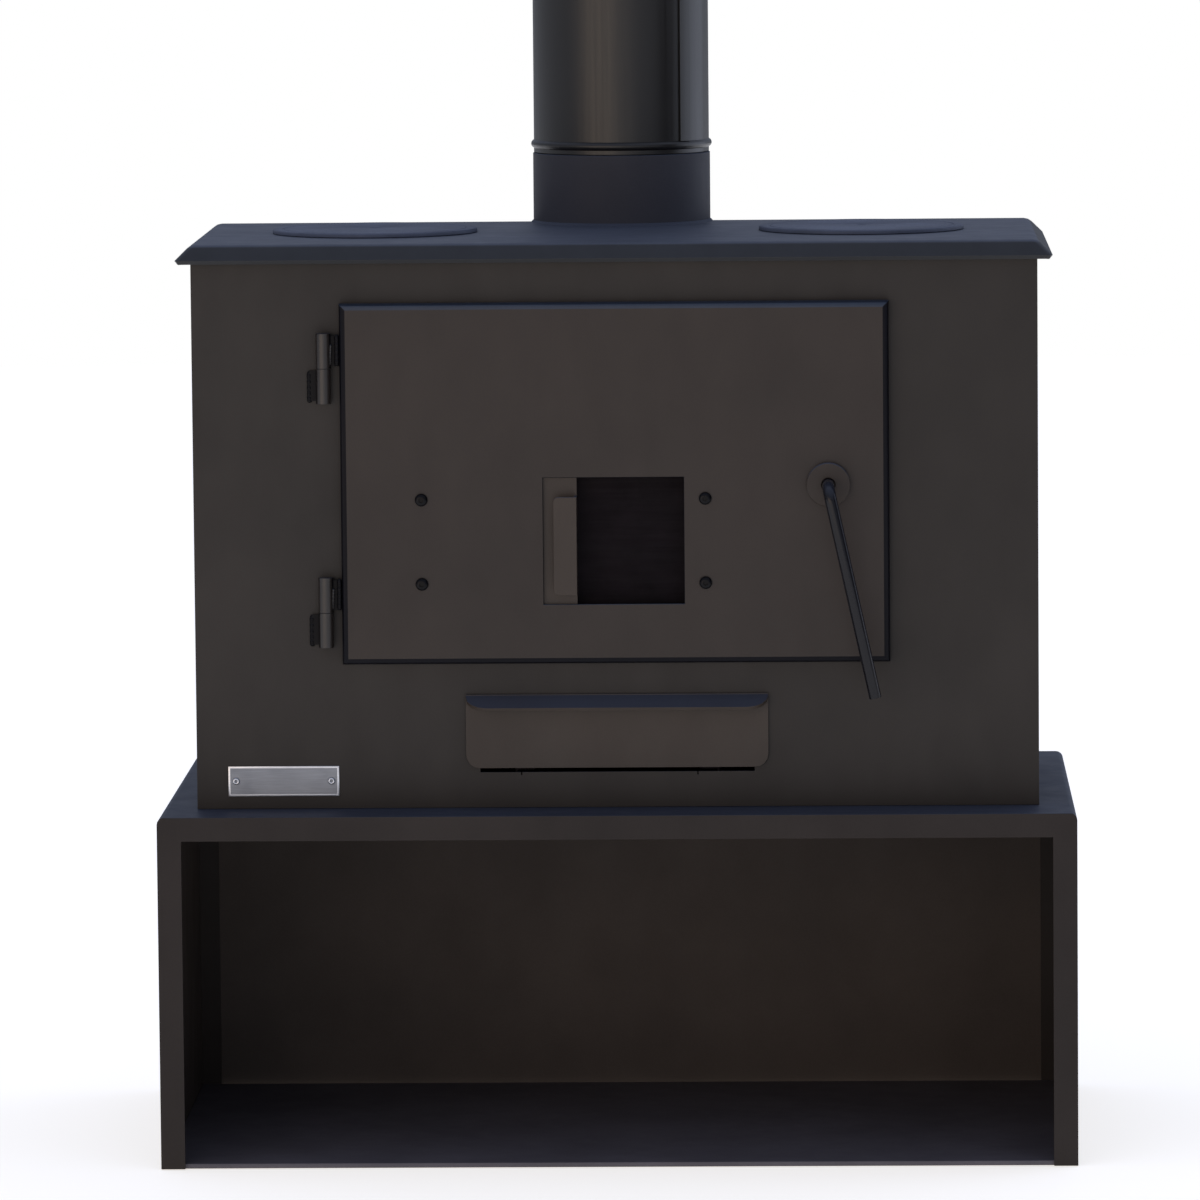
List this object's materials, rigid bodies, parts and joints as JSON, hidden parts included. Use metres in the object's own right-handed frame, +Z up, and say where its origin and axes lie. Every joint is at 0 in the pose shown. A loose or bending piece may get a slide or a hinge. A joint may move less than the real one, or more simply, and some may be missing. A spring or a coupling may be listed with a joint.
{
  "type": "wood burning stove",
  "caption": "Wide wood burning stove on a log store stand, with a hinged door, an air slide, an ash drawer, lift-off hob discs and a top flue pipe.",
  "frame": {"origin": "on the floor, under the middle of the stand", "axes": "+Z up, +Y towards the back, +X towards the stove's right as seen from in front; the door faces -Y"},
  "size_m": [0.76, 0.4653, 1.064],
  "materials": {
    "stove_paint": "matt heat-resistant paint",
    "stand_paint": "matt heat-resistant paint",
    "flue_enamel": "satin black flue paint",
    "dark_steel": "darkened mild steel",
    "cast_iron": "as cast, blacked",
    "firebrick": "dry firebrick",
    "rope": "woven glass rope",
    "galvanised": "galvanised sheet",
    "badge_metal": "satin aluminium"
  },
  "bodies": {
    "stove": {"stand_shell": "stand_paint", "stand_back_panel": "stand_paint", "stand_floor": "stand_paint", "body_front_panel": "stove_paint", "body_side_left": "stove_paint", "body_side_right": "stove_paint", "body_back_panel": "stove_paint", "body_floor": "stove_paint", "hearth_plate": "stove_paint", "top_plate": "stove_paint", "flue_box": "stove_paint", "flue_spigot": "flue_enamel", "flue_pipe": "flue_enamel", "firebrick_left": "firebrick", "firebrick_right": "firebrick", "firebrick_back_left": "firebrick", "firebrick_back_right": "firebrick", "baffle_plate": "dark_steel", "grate": "cast_iron", "log_retainer": "dark_steel", "ash_drawer_runner_left": "dark_steel", "ash_drawer_runner_right": "dark_steel", "latch_keeper": "dark_steel", "hinge_upper_body_knuckle": "stove_paint", "hinge_upper_pin": "dark_steel", "hinge_lower_body_knuckle": "stove_paint", "hinge_lower_pin": "dark_steel", "badge_plate": "badge_metal", "badge_rivet_left": "badge_metal", "badge_rivet_right": "badge_metal"},
    "door": {"door_panel": "stove_paint", "door_rope_seal": "rope", "air_slide_rail_upper": "dark_steel", "air_slide_rail_lower": "dark_steel", "air_shield": "dark_steel", "air_shield_bolt_1": "dark_steel", "air_shield_bolt_2": "dark_steel", "air_shield_bolt_3": "dark_steel", "air_shield_bolt_4": "dark_steel", "air_shield_spacer_1": "dark_steel", "air_shield_spacer_2": "dark_steel", "air_shield_spacer_3": "dark_steel", "air_shield_spacer_4": "dark_steel", "air_shield_nut_1": "dark_steel", "air_shield_nut_2": "dark_steel", "air_shield_nut_3": "dark_steel", "air_shield_nut_4": "dark_steel", "handle_boss": "stove_paint", "spindle_bush": "dark_steel", "hinge_upper_door_knuckle": "stove_paint", "hinge_lower_door_knuckle": "stove_paint"},
    "handle": {"door_handle": "stove_paint", "latch_cam": "dark_steel", "spindle_nut": "dark_steel"},
    "air_slide": {"air_slide_plate": "stove_paint"},
    "ash_drawer": {"ash_drawer_front": "stove_paint", "ash_drawer_tray": "galvanised"},
    "left_hob_disc": {"hob_disc_left": "cast_iron"},
    "right_hob_disc": {"hob_disc_right": "cast_iron"}
  },
  "joints": [
    {"name": "door_hinge", "type": "hinge", "parent": "stove", "child": "door", "pos_m": [-0.2404, -0.1672, 0.5601], "axis": [0, 0, -1], "range_deg": [0, 110]},
    {"name": "handle_turn", "type": "hinge", "parent": "door", "child": "handle", "pos_m": [0.1765, -0.174, 0.5635], "axis": [0, 1, 0], "range_deg": [0, 68]},
    {"name": "air_slide_travel", "type": "slide", "parent": "door", "child": "air_slide", "axis": [1, 0, 0], "range_m": [-0.0018, 0.088]},
    {"name": "ash_drawer_pull", "type": "slide", "parent": "stove", "child": "ash_drawer", "axis": [0, -1, 0], "range_m": [0, 0.24]},
    {"name": "left_hob_disc_lift", "type": "slide", "parent": "stove", "child": "left_hob_disc", "axis": [0, 0, 1], "range_m": [0, 0.15]},
    {"name": "right_hob_disc_lift", "type": "slide", "parent": "stove", "child": "right_hob_disc", "axis": [0, 0, 1], "range_m": [0, 0.15]}
  ]
}
